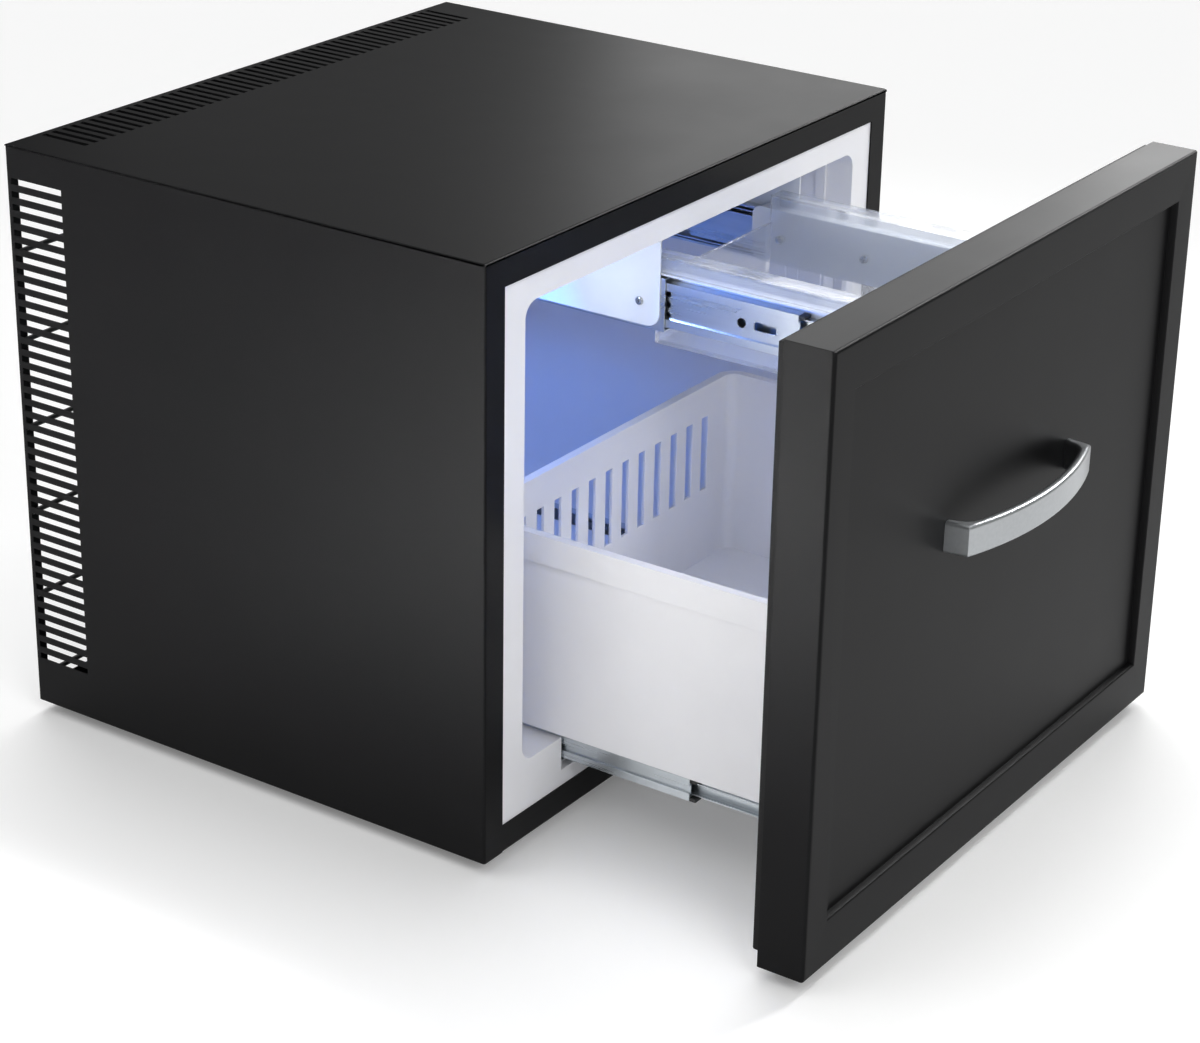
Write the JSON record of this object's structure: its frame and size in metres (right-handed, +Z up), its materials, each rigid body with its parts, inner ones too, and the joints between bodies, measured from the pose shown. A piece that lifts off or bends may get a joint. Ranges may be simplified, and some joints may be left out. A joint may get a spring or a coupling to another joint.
{
  "type": "drawer mini fridge",
  "caption": "Black cabinet fridge with a pull-out insulated drawer front, a bin and a clear tray on telescopic slides, a chrome strap handle and a lamp inside.",
  "frame": {"origin": "middle of the footprint at rest, on the floor under the feet", "axes": "+X to the right seen from the front, +Y from the door to the rear, +Z up"},
  "size_m": [0.585, 0.806, 0.512],
  "materials": {
    "cabinet_paint": "satin charcoal powder coat",
    "liner_plastic": "white polystyrene, soft gloss",
    "rigid_foam": "rigid foam, matte",
    "rubber": "soft black rubber",
    "galvanised_steel": "zinc plated sheet",
    "black_wire": "black coated wire",
    "unit_paint": "black paint",
    "fin_aluminium": "plain aluminium",
    "black_plastic": "moulded black plastic",
    "lamp_white": "white plastic",
    "lamp_glow": "frosted lens",
    "white_steel": "pale grey painted sheet",
    "screw_steel": "zinc plated",
    "clear_acrylic": "clear plastic",
    "handle_chrome": "polished chrome"
  },
  "bodies": {
    "cabinet": {"left_side_panel": "cabinet_paint", "right_side_panel": "cabinet_paint", "top_panel": "cabinet_paint", "base_panel": "cabinet_paint", "feet": "rubber", "inner_liner": "liner_plastic", "foam_insulation": "rigid_foam", "rear_wall": "galvanised_steel", "rear_guard": "black_wire", "absorber_vessel": "unit_paint", "vessel_cradles": "unit_paint", "boiler": "unit_paint", "boiler_feed_tube": "unit_paint", "condenser_tube": "unit_paint", "condenser_fins": "fin_aluminium", "absorber_coil": "unit_paint", "evaporator": "fin_aluminium", "evaporator_tubes": "fin_aluminium", "terminal_box": "black_plastic", "power_inlet": "black_plastic", "lamp_base": "lamp_white", "lamp_lens": "lamp_glow", "left_hanger": "white_steel", "right_hanger": "white_steel", "hanger_screws": "screw_steel", "upper_left_fixed_member": "galvanised_steel", "upper_right_fixed_member": "galvanised_steel", "lower_left_fixed_member": "galvanised_steel", "lower_right_fixed_member": "galvanised_steel"},
    "drawer": {"left_arm": "white_steel", "right_arm": "white_steel", "arm_screws": "screw_steel", "left_bin_bracket": "white_steel", "right_bin_bracket": "white_steel", "bin": "liner_plastic", "clear_tray": "clear_acrylic", "door_skin": "cabinet_paint", "door_foam": "rigid_foam", "door_inner_panel": "liner_plastic", "door_gasket": "rubber", "handle": "handle_chrome", "upper_left_drawer_member": "galvanised_steel", "upper_right_drawer_member": "galvanised_steel", "lower_left_drawer_member": "galvanised_steel", "lower_right_drawer_member": "galvanised_steel"},
    "middle_members": {"upper_left_middle_member": "galvanised_steel", "upper_right_middle_member": "galvanised_steel", "lower_left_middle_member": "galvanised_steel", "lower_right_middle_member": "galvanised_steel", "upper_slide_bumpers": "black_plastic", "lower_slide_bumpers": "black_plastic"},
    "outer_cages": {"upper_outer_ball_cages": "black_plastic", "lower_outer_ball_cages": "black_plastic"},
    "inner_cages": {"upper_inner_ball_cages": "black_plastic", "lower_inner_ball_cages": "black_plastic"}
  },
  "joints": [
    {"name": "drawer_slide", "type": "slide", "parent": "cabinet", "child": "drawer", "axis": [0, -1, 0], "range_m": [-0.246, 0.104]},
    {"name": "middle_member_slide", "type": "slide", "parent": "cabinet", "child": "middle_members", "axis": [0, -1, 0], "range_m": [-0.123, 0.052]},
    {"name": "outer_cage_slide", "type": "slide", "parent": "cabinet", "child": "outer_cages", "axis": [0, -1, 0], "range_m": [-0.0615, 0.026]},
    {"name": "inner_cage_slide", "type": "slide", "parent": "cabinet", "child": "inner_cages", "axis": [0, -1, 0], "range_m": [-0.1845, 0.078]}
  ],
  "couplings": [
    {"joint": "middle_member_slide", "follows": "drawer_slide", "ratio": 0.5},
    {"joint": "outer_cage_slide", "follows": "drawer_slide", "ratio": 0.25},
    {"joint": "inner_cage_slide", "follows": "drawer_slide", "ratio": 0.75}
  ]
}
